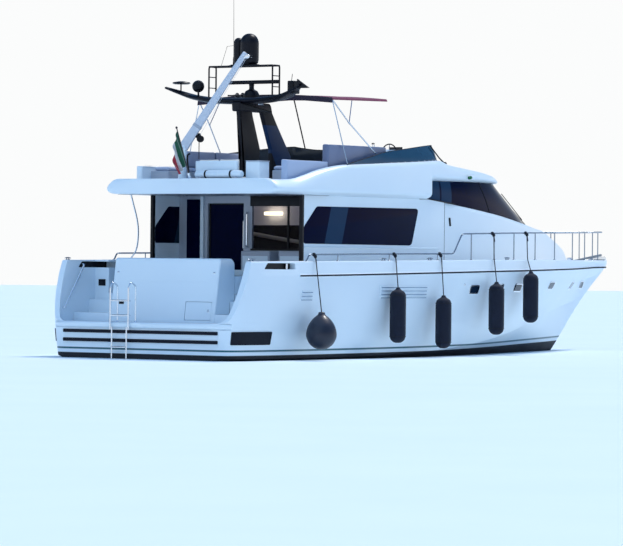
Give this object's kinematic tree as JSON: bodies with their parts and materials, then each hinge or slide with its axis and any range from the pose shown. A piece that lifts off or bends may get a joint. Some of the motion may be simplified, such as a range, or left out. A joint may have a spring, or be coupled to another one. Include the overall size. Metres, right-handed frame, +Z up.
{
  "type": "motor yacht with flying bridge",
  "caption": "Planing motor yacht with a raked bow, raised saloon, flying bridge, mast arch with radar and domes, crane, bimini, swim platform and hung fenders.",
  "frame": {"origin": "on the waterline and the centreline, 60 mm abaft the swim platform's aft edge", "axes": "+X to the bow, +Y to port, +Z up; X is the longest extent"},
  "size_m": [17.658, 5.6575, 9.1901],
  "materials": {
    "gelcoat": "polished white gelcoat, slightly chalked",
    "grey_trim": "grey laminate panels",
    "tinted_glass": "near-black tinted safety glass",
    "stainless": "polished stainless steel tube",
    "black_paint": "semi-gloss black paint",
    "bronze": "cast bronze, dulled",
    "maroon_canvas": "woven acrylic canvas",
    "navy_vinyl": "navy inflatable fender vinyl",
    "cream_vinyl": "stitched cream marine vinyl",
    "cast_iron": "painted engine block",
    "teak": "oiled teak",
    "flag_cloth": "light woven flag cloth"
  },
  "bodies": {
    "root": {"hull": "gelcoat", "swim_platform": "gelcoat", "stern_locker": "gelcoat", "cockpit_bench": "gelcoat", "cockpit_cushion": "cream_vinyl", "cockpit_lockers": "grey_trim", "engine_port": "cast_iron", "engine_starboard": "cast_iron", "saloon_sole": "teak", "house_side_port": "gelcoat", "house_side_starboard": "gelcoat", "saloon_glass_port": "tinted_glass", "saloon_glass_starboard": "tinted_glass", "aft_bulkhead": "grey_trim", "galley_light": "tinted_glass", "port_light": "tinted_glass", "trunk": "gelcoat", "side_glass_port": "tinted_glass", "side_glass_starboard": "tinted_glass", "windscreen": "tinted_glass", "flybridge": "gelcoat", "venturi_screen": "tinted_glass", "helm_console": "gelcoat", "helm_seat": "cream_vinyl", "fly_settee_port": "cream_vinyl", "fly_settee_starboard": "cream_vinyl", "fly_aft_seat": "cream_vinyl", "raft_canister": "gelcoat", "pylon": "black_paint", "antenna_cage": "black_paint", "antenna_domes": "black_paint", "bimini_frame": "stainless", "bimini_canvas": "maroon_canvas", "crane_post": "gelcoat", "ensign_staff": "teak", "ensign": "flag_cloth", "ladder_upper": "stainless", "side_rail_port": "stainless", "side_rail_starboard": "stainless", "bow_rail": "stainless", "anchor_gear": "stainless", "fender_1": "navy_vinyl", "fender_2": "navy_vinyl", "fender_3": "navy_vinyl", "fender_4": "navy_vinyl", "fender_5": "navy_vinyl", "shaft_port": "stainless", "shaft_starboard": "stainless"},
    "locker_door": {"locker_door": "gelcoat"},
    "saloon_door": {"saloon_door": "tinted_glass"},
    "radar_array": {"radar_array": "black_paint"},
    "crane_fork": {"crane_fork": "gelcoat"},
    "crane_boom": {"crane_boom": "gelcoat"},
    "propeller_port": {"propeller_port": "bronze"},
    "propeller_starboard": {"propeller_starboard": "bronze"},
    "rudder_port": {"rudder_port": "bronze"},
    "rudder_starboard": {"rudder_starboard": "bronze"},
    "helm_wheel": {"helm_wheel": "stainless"},
    "ladder_lower": {"ladder_lower": "stainless"},
    "deck_hatch": {"deck_hatch": "tinted_glass"}
  },
  "joints": [
    {"name": "locker_door_hinge", "type": "hinge", "parent": "root", "child": "locker_door", "pos_m": [0.8668, -0.59, 0.9439], "axis": [-0.1485, 0, -0.9889], "range_deg": [0, 90]},
    {"name": "saloon_door_slide", "type": "slide", "parent": "root", "child": "saloon_door", "axis": [0, 1, 0], "range_m": [0, 0.62]},
    {"name": "radar_spin", "type": "hinge", "parent": "root", "child": "radar_array", "pos_m": [3.74, 0, 5.55], "axis": [0, 0, 1], "continuous": true},
    {"name": "crane_slew", "type": "hinge", "parent": "root", "child": "crane_fork", "pos_m": [2.02, 0.43, 3.98], "axis": [0, 0, 1], "range_deg": [-60, 0]},
    {"name": "crane_luff", "type": "hinge", "parent": "crane_fork", "child": "crane_boom", "pos_m": [2.02, 0.43, 4.18], "axis": [-0.866, -0.5, 0], "range_deg": [-47, 15]},
    {"name": "propeller_port_spin", "type": "hinge", "parent": "root", "child": "propeller_port", "pos_m": [1.38, 0.62, -0.946], "axis": [0.986, 0, 0.1668], "continuous": true},
    {"name": "propeller_starboard_spin", "type": "hinge", "parent": "root", "child": "propeller_starboard", "pos_m": [1.38, -0.62, -0.946], "axis": [0.986, 0, 0.1668], "continuous": true},
    {"name": "rudder_port_turn", "type": "hinge", "parent": "root", "child": "rudder_port", "pos_m": [0.76, 0.62, -0.9], "axis": [0, 0, 1], "range_deg": [-35, 35]},
    {"name": "rudder_starboard_turn", "type": "hinge", "parent": "root", "child": "rudder_starboard", "pos_m": [0.76, -0.62, -0.9], "axis": [0, 0, 1], "range_deg": [-35, 35]},
    {"name": "helm_wheel_turn", "type": "hinge", "parent": "root", "child": "helm_wheel", "pos_m": [7.41, -0.9, 4.24], "axis": [1, 0, 0], "range_deg": [-805, 805]},
    {"name": "ladder_fold", "type": "hinge", "parent": "root", "child": "ladder_lower", "pos_m": [0.022, 0.42, 0.6], "axis": [0, 1, 0], "range_deg": [0, 165]},
    {"name": "hatch_lift", "type": "hinge", "parent": "root", "child": "deck_hatch", "pos_m": [13.6, 0, 2.6664], "axis": [0, -1, 0], "range_deg": [0, 80]}
  ],
  "couplings": [
    {"joint": "rudder_starboard_turn", "follows": "rudder_port_turn", "ratio": 1},
    {"joint": "helm_wheel_turn", "follows": "rudder_port_turn", "ratio": -23}
  ]
}
